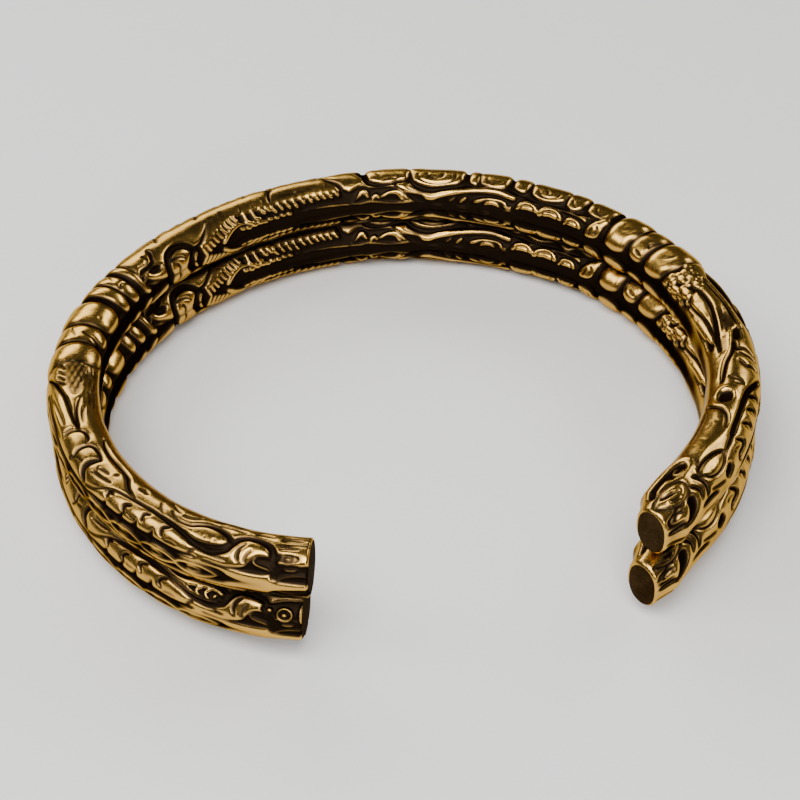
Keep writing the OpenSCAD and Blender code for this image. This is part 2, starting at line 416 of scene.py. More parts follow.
def left_head():
    """The left dragon's head, from the cut end to the neck."""
    # mouth
    pool(0.3, 0.45, [(-1, 8), (1.3, 6), (2.9, 12), (3.2, 30), (2.7, 48), (1, 50), (-1, 44)])
    ridge(0.22, -0.12, [(-0.5, 22), (0.8, 26), (1.9, 22), (2.6, 14)])
    ridge(0.16, -0.04, [(0.8, 38), (1.5, 36), (2.1, 38)])
    ridge(0.24, 0, [(-0.5, 54), (0.2, 50), (0.7, 45)], ends="e")
    # sunk patch and streaks over the mouth
    pool(0.25, 0.34, [(0.75, 54), (0.7, 62), (1.2, 68), (2.1, 70), (2.9, 68), (2.9, 56), (2.2, 50),
        (1.4, 49)])
    ringed_knob(1.75, 59, 0.56, -0.04)
    hollow(0.15, 0.3, [(0.9, 79), (1.8, 80), (2.7, 79)])
    incise(0.12, 0.14, [(-0.5, 87), (1.2, 88), (2.9, 86)])
    incise(0.12, 0.12, [(-0.5, 94), (1.5, 95), (2.8, 97)])
    incise(0.2, 0.2, [(0.6, 103), (1.6, 104), (2.7, 101)])
    incise(0.14, 0.12, [(-0.5, 113), (1.5, 112), (3, 115)])
    # groove that coils round the horn and runs back over the leg
    hollow(0.4, 0.45, [(2.9, 48), (3.2, 72), (4, 88), (5.3, 94), (6.3, 87), (6.9, 70), (7.3, 57), (8.5, 49),
        (10, 51), (11.2, 61), (13, 71), (15, 76), (16.5, 76), (18.5, 72), (20, 65), (21.3, 52), (22.3, 39),
        (23.5, 30)], ends="e")
    # hollow beneath the horn, with a scroll in it
    pool(0.25, 0.46, [(2.9, 28), (2.9, 52), (3.4, 60), (4.2, 61), (4.8, 55), (5.1, 45), (5.5, 34), (7, 29),
        (8.9, 32), (8.9, 26), (5.5, 21), (3.6, 21)])
    ridge(0.15, 0, [(3.05, 28), (3.3, 34), (4, 38), (4.5, 42), (4.65, 49), (4.35, 54)])
    incise(0.17, 0.3, [(5, 68), (5.3, 58), (5.4, 48), (5.3, 40)])
    incise(0.22, 0.34, [(5.6, 80), (6.05, 68), (6.15, 54), (6, 41)])
    incise(0.13, 0.25, [(6.8, 38), (7.8, 41), (9.2, 45)])
    # eye under its brow
    hollow(0.2, 0.4, [(7.1, 76), (7.8, 62), (9.3, 57), (10.8, 61), (11.6, 70)])
    hollow(0.34, 0.42, [(7.1, 80), (8.1, 94), (9.5, 99.5), (10.6, 92), (11.3, 84), (12.6, 84), (13.8, 96)],
        ends="e")
    incise(0.11, 0.14, [(8.4, 73), (8.6, 68)], [(9.35, 74), (9.5, 69)])
    # top of the head
    incise(0.2, 0.2, [(3.4, 107), (4.4, 110), (5.2, 108)])
    incise(0.2, 0.18, [(6, 106), (7.2, 110), (8.8, 107)])
    incise(0.16, 0.14, [(6.4, 118), (8, 121), (9.6, 116)])
    hollow(0.16, 0.3, [(10.8, 114), (11.3, 105), (11.9, 100), (12.7, 99)])
    hollow(0.16, 0.28, [(13, 102), (13.8, 108), (14.6, 117)])
    incise(0.12, 0.16, [(14.4, 84), (15, 93), (15.4, 104)])
    hollow(0.2, 0.28, [(17.3, 101), (17.9, 104), (18.5, 99)])
    # groove over the neck, and the line above it
    hollow(0.26, 0.42, [(18, 78), (19.2, 86), (20, 96), (20.8, 106), (22.3, 110), (24.2, 110), (26, 114),
        (27.5, 122)])
    emboss(0.2, 0.08, [(19.4, 97), (20.2, 109), (21.6, 117.5), (23.5, 118.5), (25, 120), (26.5, 129)])


def left_tendrils():
    """Low tendrils in a sunk field along the left arm's outer side; the field lies low enough that the
    brass paints it black, as painted shade.
    """
    # sunk field, whose black ground is painted shade
    pool(0.3, 0.38, [(6.8, -20), (6.8, 12), (8.5, 21), (12, 22), (17, 21), (23, 18), (27, 18), (31, 22),
        (34.5, 20), (38, 8), (39, -2), (39, -20)])
    for k in range(8):
        start = 7.3 + TENDRIL_PITCH * k
        ridge(0.27, 0.02, [(start, -6), (start + 0.7, 5), (start + 1.8, 13), (start + 3, 13.5),
            (start + 3.9, 8), (start + 4.3, 1)])
        ridge(0.2, -0.04, [(start + 1.7, 1), (start + 2.5, 6), (start + 3.2, 3)])


def left_leg():
    """Leg with its knuckles, and the lobes behind them."""
    # foot and knuckles
    hollow(0.34, 0.42, [(9.6, 30), (12, 24), (14.5, 26), (17, 25), (20, 25), (22.8, 24)])
    hollow(0.2, 0.35, [(9.9, 44), (10.3, 36), (10.4, 30)])
    for along, high, low in ((12.95, 64, 41), (15.35, 68, 48), (17.6, 62, 41), (20, 57, 44)):
        incise(0.2, 0.38, [(along - 0.1, high), (along + 0.5, 0.5 * (high + low) + 5),
            (along + 0.62, low + 7), (along + 0.2, low)])
    for along, high in ((14.4, 44), (16.3, 45), (18.1, 40), (20.4, 37)):
        hollow(0.4, 0.42, [(along + 0.1, 22), (along, 32), (along - 0.05, high)], ends="e")
    incise(0.12, 0.15, [(11.6, 37), (12.3, 38), (13, 36)], [(16.4, 44), (17.1, 44), (17.7, 46)])
    # lobe behind the knuckles
    incise(0.16, 0.3, [(21, 70), (22.5, 64), (23.9, 60)], [(22, 81), (23, 77), (23.7, 73)])
    incise(0.14, 0.25, [(21.3, 95), (21.55, 86)])
    hollow(0.36, 0.42, [(24.3, 90), (24.75, 74), (24.95, 56), (24.7, 42), (23.8, 31)])
    hollow(0.22, 0.42, [(24.2, 86), (25, 93), (26, 94.5), (26.75, 88), (27.05, 74), (27.1, 58), (26.9, 45),
        (27.2, 36)])
    incise(0.1, 0.15, [(25.6, 56), (26.2, 52), (26.8, 49)])
    hollow(0.21, 0.4, [(27.3, 84), (27.9, 91.5), (28.7, 91), (29.3, 82), (29.6, 70), (29.75, 58),
        (29.5, 46)])
    incise(0.15, 0.25, [(30, 72), (30.15, 62), (30.05, 50)])
    hollow(0.24, 0.4, [(22.5, 22), (24.5, 20), (27, 22), (29.5, 26), (32, 30), (34.5, 30), (36.5, 32)])


def left_shoulder():
    """Leaf, worn scales and creases before the left beads."""
    # leaf
    hollow(0.23, 0.44, [(29.2, 84), (30.2, 80), (31.6, 78), (33.2, 76), (34.8, 71), (36, 62), (37.2, 50),
        (38.3, 34), (39, 18)])
    incise(0.16, 0.28, [(31, 57), (33, 53.5), (35.2, 45)])
    incise(0.12, 0.2, [(32.2, 83), (33.5, 81), (34.8, 77)])
    hollow(0.2, 0.4, [(29.7, 84), (30.8, 86), (32.2, 90), (33.4, 97), (34.2, 104)])
    incise(0.2, 0.16, [(30.2, 96), (31.6, 101), (32.8, 109)])
    hollow(0.14, 0.32, [(30, 39), (32, 37), (34.3, 38), (36, 41)])
    # worn scales before the beads, on a patch that lies a little lower
    pool(0.5, 0.12, [(34.6, 84), (37, 74), (39.6, 72), (40.1, 90), (39.8, 108), (38.2, 120), (35.6, 116),
        (34.4, 100)])
    for along, first, count in ((39.9, 84, 3), (39.05, 76, 4), (38.2, 84, 3), (37.35, 77, 3), (36.5, 84, 2),
            (35.65, 92, 1)):
        for k in range(count):
            middle = first + 14.5 * k
            tip = along - 0.78 - 0.12 * (k % 2)
            incise(0.12, 0.065, [(along, middle - 7), (tip + 0.17, middle - 4.4), (tip, middle),
                (tip + 0.17, middle + 4.4), (along, middle + 7)], ends="")
    # creases beside the scales, towards the wrist
    for along, angle, length in ((39.4, 121, 3.4), (39, 126, 5.2), (39.5, 131, 3), (38.7, 136, 4.6),
            (39.3, 141, 2.6), (35.4, 122, 2.6), (35.6, 132, 3.2)):
        incise(0.13, 0.13, [(along, angle), (along - 0.35 * length, angle + 2),
            (along - 0.7 * length, angle - 1.5), (along - length, angle - 4)])
    for along in (36.6, 37.3, 38.1, 39):
        incise(0.15, 0.3, [(along - 0.2, 76), (along + 0.2, 68), (along + 0.75, 57)])
    hollow(0.14, 0.32, [(38.8, 54), (39.4, 40), (39.6, 20), (39.6, -10)], ends="s")


def left_beads():
    """Two beads with a narrower one between them, and three collars."""
    pool(0.25, 0.45, [(39.7, -20), (56, -20), (56.1, 60), (56, 120), (55.9, 150), (54, 166), (50, 162),
        (44, 160), (41, 160), (39.8, 140), (39.7, 90), (39.6, 40)])
    pad(1.25, 0.14, [(39.75, -20), (43.02, -20), (43.02, 60), (43.02, 120), (42.7, 148), (41.3, 158),
        (40.1, 148), (39.7, 110), (39.7, 60)],
        [(45.9, -20), (49.75, -20), (49.75, 60), (49.75, 130), (49.3, 155), (47.7, 162), (46.3, 153),
         (45.9, 120), (45.85, 60)])
    pad(0.75, 0.03, [(43.08, -20), (45.82, -20), (45.82, 60), (45.75, 120), (45.4, 150), (44.4, 157),
        (43.4, 149), (43.08, 110), (43.08, 60)])
    pad(0.55, 0.03, [(50.45, -20), (52.2, -20), (52.25, 60), (52.25, 130), (52, 158), (51, 160),
        (50.5, 130), (50.45, 60)],
        [(52.4, -20), (54.15, -20), (54.15, 60), (54.15, 130), (54.2, 160), (53.1, 164), (52.5, 130),
         (52.4, 60)],
        [(54.55, -20), (55.85, -20), (55.85, 60), (55.85, 110), (56, 140), (56.4, 172), (55.5, 172),
         (54.9, 140), (54.6, 60)])
    incise(0.26, 0.4, [(43.3, 148), (43.85, 125), (44.3, 97)], ends="e")
    incise(0.13, 0.2, [(43.8, 82), (44.4, 74), (45.2, 62)])
    incise(0.22, 0.1, [(47, 116), (47.3, 112)])
    incise(0.2, 0.18, [(52.6, 114), (53.3, 108), (54, 118)])
    incise(0.16, 0.16, [(53.1, 92), (53.5, 80), (53.8, 66)])


def left_scrolls():
    """Scrolls between the left beads and the tail."""
    # cloud lobe
    hollow(0.3, 0.44, [(55.9, 128), (56.6, 122), (57.6, 122.5), (58.5, 119), (58.8, 110), (59.2, 100),
        (59.4, 85)])
    incise(0.16, 0.22, [(56.6, 108), (57.6, 114), (58.2, 106), (58.1, 94)])
    pool(0.25, 0.42, [(55.8, 130), (57, 128), (58.4, 127), (59.3, 134), (59.2, 146), (58.2, 158), (57, 160),
        (55.8, 150)])
    ridge(0.42, 0.04, [(56.9, 138), (57.4, 148), (58.3, 152), (59.1, 147), (59.6, 136), (59.9, 124),
        (59.7, 114)], ends="")
    hollow(0.13, 0.35, [(58.55, 146), (58.8, 140), (58.8, 132)])
    ridge(0.2, -0.02, [(55.8, 145), (56.3, 140), (56.5, 133), (56.1, 128)])
    # slanted lines against the wrist
    for shift in (0, 1.25):
        hollow(0.2, 0.34, [(55.7 + shift, 152), (57 + shift, 166), (58.7 + shift, 178)])
    # hooked disc in its groove
    hollow(0.48, 0.45, [(59.9, 178), (59.8, 160), (60.2, 140), (60.9, 127), (61.9, 121.5), (62.9, 126),
        (63.6, 138), (63.9, 152), (63.4, 166), (63.1, 178)], ends="")
    incise(0.17, 0.34, [(61.25, 179), (61.45, 168), (61.3, 158), (61, 155)],
        [(60.6, 145), (61.4, 144), (62.1, 149), (62.4, 156)])


def tail():
    """Tail with its ribs, small beads and hooked teeth."""
    # dark field between the smooth back and the wall
    pool(0.25, 0.43, [(62.9, 184), (63.1, 160), (63.6, 147), (64.5, 141), (65.2, 144), (65.6, 154),
        (66.2, 152), (67, 144), (68, 134), (69, 126), (70.2, 120), (72, 122), (76, 126), (80, 128),
        (83, 127), (84.4, 126), (85.2, 150), (85.4, 178), (78, 184), (70, 184)])
    hollow(0.27, 0.45, [(64.3, 150), (65.2, 144), (66, 133), (66.7, 120), (67.2, 108)], ends="e")
    # ribs that climb from the smooth back to the wall
    ridge(0.26, 0.04, [(63.9, 180), (64, 168), (64.45, 158)])
    for k in range(9):
        along = 65.2 + 0.62 * k
        low = 160 - 5.3 * k + 0.09 * k * k
        reach = 19 - k
        ridge(0.27, 0.1, [(along, low - 7), (along + 0.24, low + 0.5 * reach), (along + 0.46, low + reach)],
            ends="")
    # bright fold, and the row of small beads that goes on from it and dies away
    ridge(0.36, 0.07, [(68.3, 170), (69, 157), (69.8, 148), (70.7, 143.5), (71.6, 147), (72.4, 156)],
        ends="e")
    for along, angle in ((71, 157), (71.8, 160), (72.6, 158), (73.3, 157), (74, 159), (74.7, 156),
            (75.5, 158), (76.3, 156), (77.1, 157)):
        ridge(0.3, 0.02, [(along - 0.15, angle - 1), (along + 0.15, angle + 1)], ends="")
    ridge(0.19, -0.04, [(77.6, 159), (79, 161), (80.2, 159.5), (81.9, 160), (84.4, 163)], ends="s")
    # hooked teeth along the edge of the smooth back
    for along, top, lean in ((71.7, 151, 0.75), (72.75, 148, 0.7), (73.75, 138, 0.45), (74.5, 135, 0.35),
            (75.2, 144, 0.4), (76.1, 142, 0.35), (77, 143, 0.35), (77.9, 145, 0.35), (78.8, 139, 0.35),
            (79.7, 140, 0.35), (80.5, 137, 0.35), (81.3, 137, 0.35), (82.1, 138, 0.35), (82.9, 136, 0.35)):
        ridge(0.26, 0.07, [(along + 0.15, 116), (along, 127), (along + 0.12, top - 6), (along + lean, top)],
            ends="")
    # notches in the smooth back
    for along, high, low in ((67.9, 113, 97), (69.3, 110, 94), (71.5, 117, 101), (73, 118, 106),
            (74.4, 115, 99), (78.3, 118, 108), (82, 114, 104)):
        incise(0.14, 0.16, [(along, high), (along + 0.12, low)])
    incise(0.2, 0.36, [(75.2, 120), (75.35, 104), (75.6, 88), (76, 72)])
    incise(0.12, 0.1, [(76.4, 106), (78.4, 109), (81, 107)])
    # groove where the tail ends
    hollow(0.3, 0.44, [(82, 80), (82.6, 92), (83.2, 104), (83.6, 118), (83.9, 134)])


def lozenges():
    """Flat-topped tiles on the ridge of the back, and the groove between them and the scrolls."""
    pool(0.2, 0.45, [(86, 40), (86.2, 100), (86.6, 118), (88, 126), (90, 122), (91.4, 118), (92, 130),
        (94, 142), (96.5, 132), (99, 121), (102, 118), (104, 123), (106, 132), (108, 130), (110, 128),
        (112, 128), (113.2, 122), (115.9, 119), (116, 60), (116, 40), (98, 40)])
    pad(0.3, 0.04, [(86.9, 40), (86.9, 96), (87.2, 110), (88.2, 118), (89.4, 118), (90.3, 112), (91.1, 110),
        (91.5, 98), (91.5, 40)],
        [(91.95, 40), (91.85, 100), (92.1, 115), (92.9, 124), (94.2, 129), (95.7, 125), (97, 119),
         (97.6, 108), (97.75, 92), (97.7, 40)],
        [(98.3, 40), (98.3, 102), (98.7, 114), (99.3, 115), (99.5, 100), (99.5, 40)],
        [(99.65, 40), (99.6, 102), (99.9, 112), (101, 116), (102.3, 113), (102.8, 100), (102.8, 40)],
        [(103.4, 40), (103.4, 98), (103.8, 110), (104.5, 115), (105, 110), (105.2, 96), (105.2, 40)],
        [(105.6, 40), (105.6, 104), (106.2, 118), (107.2, 123), (108.5, 118), (109.4, 108), (109.7, 94),
         (109.7, 40)],
        [(109.95, 40), (109.9, 108), (110.4, 120), (111, 124), (111.7, 114), (112, 98), (112, 40)],
        [(112.5, 40), (112.5, 102), (113, 114), (114, 117), (115.3, 110), (115.6, 98), (115.6, 40)])
    incise(0.11, 0.2, [(88.5, 116), (88.7, 109), (89.4, 105), (90.2, 106), (90.5, 98)])
    incise(0.1, 0.14, [(88, 88), (88.2, 98), (88.1, 106)])
    incise(0.12, 0.24, [(92.6, 92), (92.6, 104), (93.3, 115), (94.6, 120), (96, 115), (96.7, 104),
        (96.8, 92)])
    incise(0.12, 0.22, [(93.6, 90), (93.7, 100), (94.5, 106), (95.3, 100), (95.4, 90)])
    incise(0.1, 0.18, [(100.3, 92), (100.5, 102), (101.3, 106), (102.1, 98)])
    incise(0.13, 0.24, [(106.3, 96), (106.7, 108), (107.6, 112), (108.6, 104), (108.8, 94)])
    incise(0.12, 0.16, [(107.2, 92), (107.6, 99)])
    incise(0.12, 0.2, [(110.5, 96), (110.8, 107), (111.3, 112)])
    incise(0.12, 0.18, [(113.4, 92), (113.7, 103), (114.5, 106), (114.9, 96)])


def wave():
    """Ribbon like a wave along the back."""
    # claw and folds before the wave
    pool(0.3, 0.42, [(84.2, 126), (86.2, 116), (87.2, 124), (89.5, 124), (90.3, 132), (90, 142), (91, 150),
        (92, 168), (86, 172), (84.4, 150)])
    ridge(0.34, 0.03, [(84.3, 130), (85.2, 120), (86.3, 108)])
    pad(0.3, 0.04, [(84.7, 164), (85.1, 152), (85.5, 140), (85.8, 130), (86.3, 127), (86.7, 134),
        (86.95, 150), (86.5, 152), (86.2, 143), (85.8, 148), (85.2, 158)])
    incise(0.1, 0.14, [(86, 146), (86.2, 136)])
    ridge(0.26, 0.02, [(87.1, 160), (87.35, 150), (87.75, 146), (88.05, 156)])
    pad(0.3, 0.05, [(88, 153), (88.4, 144), (89.2, 136), (90.2, 134), (90.7, 144), (91, 160), (90.5, 160),
        (90.1, 148), (89.3, 146), (88.6, 153)])
    ridge(0.24, 0.02, [(91.1, 156), (91.6, 152), (92.1, 164)])
    ridge(0.2, -0.04, [(84, 162.5), (85.6, 164), (87, 161), (88, 164), (89.6, 168), (91, 165), (92.4, 161),
        (93.8, 163)])
    for start, angle in ((94, 178), (97, 177), (99.8, 179)):
        ridge(0.16, -0.12, [(start, angle), (start + 0.7, angle - 3), (start + 1.6, angle)])
    # the ribbon
    pool(0.25, 0.45, [(90.2, 114), (92, 128), (94, 136), (96, 128), (99, 119), (102, 117), (104.4, 122),
        (104.3, 136), (103.8, 152), (102.4, 168), (98, 172), (94, 173), (92, 164), (91, 146), (89.8, 130)])
    pad(0.34, 0.08, [(90.1, 118), (90.9, 119), (91.4, 125), (92.1, 132), (93.1, 139), (94.3, 141),
        (95.4, 135), (96.6, 129.5), (98.1, 125), (99.7, 120), (101.4, 118), (103, 121), (104.3, 127),
        (104.3, 138), (103.2, 136.5), (101.8, 132), (100.1, 133.5), (98.2, 138.5), (96.6, 146), (95.2, 154),
        (94.3, 161), (93.5, 159), (93.1, 151), (92.1, 146), (91, 141), (90.2, 131)])
    incise(0.12, 0.26, [(91, 128), (91.9, 137), (93.1, 144), (94.2, 147), (95.4, 143), (96.6, 137)])
    incise(0.1, 0.14, [(97.2, 134), (99.4, 128), (101.6, 125.5), (103.4, 130)])
    # leaf curled under the ribbon
    pad(0.28, 0.04, [(99, 160), (99.3, 150), (100.2, 143), (101.4, 139), (102.7, 141), (103.3, 149),
        (103.4, 160), (102.9, 158), (102.6, 150), (101.6, 148), (100.6, 150), (99.8, 158)])
    ridge(0.24, 0, [(100.4, 160), (101, 153.5), (101.9, 153.5), (102.4, 160)])
    ridge(0.26, 0, [(97.5, 162), (97.9, 154), (98.4, 146)])
    ridge(0.2, -0.04, [(96.1, 162), (96.7, 155), (97.1, 149)])


def shells():
    """Three shells and a knot before the right beads."""
    pool(0.25, 0.45, [(104.2, 126), (106, 131), (108, 128), (110, 129), (112.3, 128), (113.2, 122),
        (113.5, 150), (113.2, 172), (108, 174), (104, 172)])
    for left, right, low, high in ((104.25, 107.05, 131, 158), (107.05, 110.15, 130, 160),
            (110.35, 112.75, 136, 163)):
        middle = 0.55 * left + 0.45 * right
        half = 0.5 * (right - left)
        pad(0.3, 0.1, [(left, high), (left + 0.1, low + 15), (left + 0.3 * half, low + 5), (middle, low),
            (middle + 0.6 * half, low + 2), (right - 0.08, low + 11), (right, high - 4),
            (middle, high - 5)])
        incise(0.14, 0.36, [(left + 0.42 * half, high), (left + 0.46 * half, low + 18),
            (middle - 0.1, low + 11), (middle + 0.4 * half, low + 11), (right - 0.4 * half, low + 17),
            (right - 0.36 * half, high - 3)])
        hollow(0.24, 0.46, [(middle + 0.05, high + 6), (middle + 0.1, low + 22)], ends="e")
    pad(0.25, 0.05, [(111.8, 131), (112.4, 126), (113.1, 129), (113.15, 138), (112.6, 135.5)])
    # knot
    pool(0.25, 0.45, [(113.3, 122), (114.5, 122), (115.9, 116), (116.2, 130), (116, 172), (113.2, 172)])
    pad(0.3, 0.08, [(113.45, 166), (113.4, 150), (113.75, 134), (114.3, 121), (115, 110), (115.6, 104),
        (115.75, 116), (115.5, 128), (115.4, 144), (115.2, 158), (114.6, 166), (114, 168)])
    incise(0.14, 0.34, [(113.95, 161), (114.05, 152), (114.25, 142)],
        [(114.7, 156), (114.85, 146), (114.7, 135)])


def right_beads():
    """Two beads with a narrower one between them."""
    pool(0.25, 0.45, [(115.9, -20), (126.9, -20), (126.9, 60), (127, 90), (126.9, 120), (126.4, 150),
        (125.7, 168), (123, 172), (118, 174), (116.2, 170), (115.9, 120), (115.8, 60)])
    pad(1.2, 0.14, [(116.3, -20), (119.85, -20), (119.95, 60), (120, 92), (119.9, 114), (119.4, 132),
        (119.2, 160), (117.7, 171), (116.3, 162), (116.1, 130), (116.2, 100), (116.3, 60)],
        [(122.75, -20), (126.65, -20), (126.75, 60), (126.85, 90), (126.7, 114), (126.2, 137), (125.7, 160),
         (124.1, 170), (122.7, 162), (122.5, 130), (122.7, 100), (122.7, 60)])
    pad(0.8, 0.04, [(119.98, -20), (122.6, -20), (122.62, 60), (122.65, 90), (122.5, 112), (122.3, 132),
        (122.1, 158), (120.9, 166), (119.8, 154), (119.65, 128), (119.98, 90), (119.98, 60)])
    incise(0.16, 0.2, [(120.6, 138), (121.1, 141), (121.7, 143)])
    incise(0.14, 0.14, [(117.9, 122), (118.6, 112), (119, 96)], [(124.3, 118), (125, 108), (125.3, 96)])
    incise(0.14, 0.22, [(122, 118), (121.7, 108), (122.1, 98)])


def right_shoulder():
    """What lies between the right beads and the leg."""
    # field of pebbles
    pool(0.25, 0.34, [(126.8, 60), (127.2, 82), (130.2, 84), (131, 96), (131.2, 112), (132, 134),
        (132.6, 150), (130.5, 164), (127.4, 166), (126.6, 140), (126.8, 100)])
    for along, angle, length, height in ((126.95, 135, 0.36, 11), (127.75, 139, 0.42, 9),
            (128.85, 146, 0.62, 7.5), (130.15, 148, 0.5, 6), (131.75, 143, 0.45, 5),
            (128.5, 121, 0.55, 9.5), (130.6, 132, 0.8, 10), (129.45, 133, 0.36, 7), (127.55, 120, 0.4, 8),
            (127.8, 104, 0.55, 8.5), (129.15, 103, 0.6, 9), (130.35, 101, 0.5, 11), (127.15, 90, 0.4, 7),
            (128.35, 89, 0.55, 6.5), (129.6, 88, 0.5, 5), (128, 156, 0.5, 5), (129.25, 158, 0.5, 4.5),
            (130.8, 156, 0.45, 4), (126.95, 152, 0.36, 6), (129.55, 118, 0.36, 7)):
        wide = PEBBLE_LENGTHEN * length
        tall = PEBBLE_WIDEN * height
        pad(PEBBLE_EDGE, PEBBLE_TOP,
            [(along - wide, angle + 0.3 * tall), (along - 0.3 * wide, angle + tall),
            (along + 0.6 * wide, angle + 0.7 * tall), (along + wide, angle - 0.2 * tall),
            (along + 0.3 * wide, angle - tall), (along - 0.7 * wide, angle - 0.7 * tall)])
    # lobed leaf, with the bold groove round it and a rim beyond
    hollow(0.2, 0.42, [(131.2, 126), (131.6, 135), (132.5, 141), (133.8, 138), (135.2, 132), (137, 127),
        (138.8, 125.5), (140.6, 124)])
    pad(0.3, 0.12, [(131.3, 120), (131.5, 127), (132.2, 131), (132.6, 137), (133.5, 136), (133.9, 130),
        (134.6, 128.5), (135.3, 127), (136.2, 122.5), (137.6, 120.5), (136.3, 117.5), (134.8, 114.5),
        (133.2, 112), (132, 114)])
    incise(0.13, 0.22, [(132.6, 130), (133.2, 125), (134.4, 121.5), (135.9, 119.5)])
    incise(0.11, 0.2, [(131.9, 123), (132.6, 120), (133.6, 117)])
    hollow(0.3, 0.46, [(130.5, 118), (130.9, 111), (132, 106), (133.6, 105), (135.2, 107.5), (136.8, 111.5),
        (138.6, 116.5), (140.6, 120), (141.8, 120)])
    emboss(0.2, 0.07, [(130.5, 108), (131.5, 101.5), (133, 98.5), (134.8, 100), (136.6, 105.5),
        (138.4, 111), (140.2, 116), (141.6, 123)])
    # second leaf and the feathers over it
    pool(0.25, 0.34, [(133.2, 152), (134.2, 146), (136, 138), (138, 131), (140, 128), (141.2, 138),
        (140, 150), (137, 156)])
    ridge(0.3, 0.1, [(133.9, 150), (135.4, 148), (137, 145.5), (138.6, 143)])
    ridge(0.42, 0.12, [(135.3, 143), (136.8, 139), (138.4, 134.5), (139.8, 131)])
    for k in range(3):
        ridge(0.22, 0, [(138.4 + 0.7 * k, 150 - 2 * k), (139.6 + 0.75 * k, 151 + 1.5 * k),
            (140.6 + k, 148 + 2 * k)])
    # neck with its hair
    hollow(0.24, 0.42, [(129.6, 84), (131.5, 81.5), (133.5, 77), (135.5, 71.5), (137.3, 68), (138, 60)])
    for k in range(6):
        incise(0.11, 0.15, [(134.7 + 0.4 * (k % 3), 97 - 4.6 * k), (136.6, 99.5 - 4.2 * k),
            (138.9 - 0.4 * (k % 2), 104 - 4.6 * k)])
    for k in range(4):
        incise(0.11, 0.14, [(139.4, 113 - 4 * k), (141, 117.5 - 4.2 * k), (142.6 - 0.2 * k, 123 - 5 * k)])
    # curl
    pool(0.2, 0.38, [(137.9, 66), (138.2, 78), (138.9, 86), (139.6, 89), (140.1, 84), (139.9, 74),
        (139.2, 66)])
    emboss(0.24, 0.14, [(137.4, 58), (137.6, 70), (138.1, 82), (139, 91), (140.1, 94), (140.8, 88)])
    for k in range(4):
        incise(0.09, 0.12, [(138.3 + 0.35 * k, 70 + 2 * k), (138.8 + 0.3 * k, 80 + 2 * k)])


def right_tendrils():
    """Low tendrils in a sunk field along the right arm's outer side."""
    pool(0.3, 0.38, [(127.2, -20), (127.2, 40), (129, 70), (131, 72), (133.4, 66), (136.5, 54), (138.5, 36),
        (144, 26), (150, 6), (153, -4), (153, -20)])
    for k in range(6):
        start = 127.6 + TENDRIL_PITCH * k
        top = 30 - 2.5 * k
        ridge(0.27, 0.02, [(start, -6), (start + 0.5, 0.35 * top), (start + 1.5, 0.85 * top),
            (start + 2.8, top), (start + 3.8, 0.6 * top), (start + 4.2, 1)])
        ridge(0.2, -0.04, [(start + 1.6, 1), (start + 2.4, 0.45 * top), (start + 3.2, 0.3 * top)])
    ridge(0.26, 0.02, [(128.2, 58), (129.8, 46), (131.6, 44), (133.6, 48), (135.2, 44)])


def right_leg():
    """Leg with its knuckles, pit and tube."""
    hollow(0.27, 0.46, [(139.9, 88), (141.4, 91), (142.4, 98), (143.4, 107), (144.8, 113), (146.2, 115.5),
        (147.3, 118)])
    emboss(0.22, 0.1, [(140.6, 96), (141.8, 102), (142.8, 111), (143.8, 119), (145.2, 124), (146.4, 126)])
    hollow(0.17, 0.4, [(140.2, 84), (141.5, 84), (141.3, 70), (141.6, 56), (142, 44)])
    hollow(0.22, 0.42, [(142.2, 84), (142.3, 70), (142.4, 56), (142.8, 44)])
    hollow(0.24, 0.42, [(143.3, 84), (144, 68), (143.8, 54), (144.2, 42)])
    hollow(0.16, 0.36, [(146.1, 106), (146.3, 92), (146.5, 80), (147.1, 70)])
    incise(0.22, 0.16, [(146.9, 88), (147, 78)])
    # round pit with its rim
    emboss(0.36, 0.12, [(149.2, 86), (148.3, 90), (147.9, 104), (148.2, 118), (149.2, 126)])
    pool(0.3, 0.46, [(148.15, 104), (148.4, 116), (149.2, 122), (150.1, 117), (150.4, 104), (150.1, 92),
        (149.2, 87), (148.4, 92)])
    # tube over the pit
    emboss(0.2, 0.1, [(149.6, 150), (150.3, 134), (150.8, 118), (151.05, 103), (151.7, 89), (152.7, 81.5)])
    hollow(0.22, 0.38, [(150.7, 140), (151.2, 120), (151.6, 104), (152.2, 92), (153.2, 85), (154.3, 83)])
    incise(0.1, 0.09, [(153.6, 117), (154.2, 112), (154.9, 115), (155.1, 121)])
    for along, angle in ((153.4, 103), (156.8, 108), (158.2, 118)):
        incise(0.26, 0.05, [(along, angle), (along + 0.3, angle + 2)])
    # edge of the smooth stretch against the wall
    incise(0.22, 0.14, [(151.8, 138), (153.6, 136), (155.6, 135), (157.6, 131)])
    # ridge over the leg, and the groove under it
    emboss(0.3, 0.08, [(148, 70), (150.5, 74), (152.5, 74), (154.6, 76), (156.6, 84), (158.2, 90.5),
        (160, 90)])
    hollow(0.34, 0.45, [(145.4, 36), (146.3, 46), (147.3, 57), (148.6, 64), (150.5, 67), (152.8, 67),
        (154.6, 64)], ends="")
    hollow(0.22, 0.44, [(154.2, 65), (155.6, 61), (157, 57), (158, 50)], ends="e")
    # knuckles
    for along in (147.7, 149.6, 151.7):
        incise(0.24, 0.42, [(along + 0.8, 54), (along + 0.2, 46), (along, 36), (along + 0.35, 27)])
        incise(0.1, 0.14, [(along + 1.1, 50), (along + 0.8, 42), (along + 0.85, 32)])
    incise(0.24, 0.42, [(154.9, 52), (154.4, 44), (154.1, 34), (154.6, 27), (155.5, 27), (156, 20),
        (155.7, 12)])
    incise(0.12, 0.16, [(155, 38), (155.7, 43), (156.5, 42)])
    hollow(0.3, 0.4, [(146.5, 20), (149, 12), (152, 7), (155, 2), (157.5, -2)])
    hollow(0.5, 0.42, [(157.5, 34), (158.1, 26), (158.9, 20)])


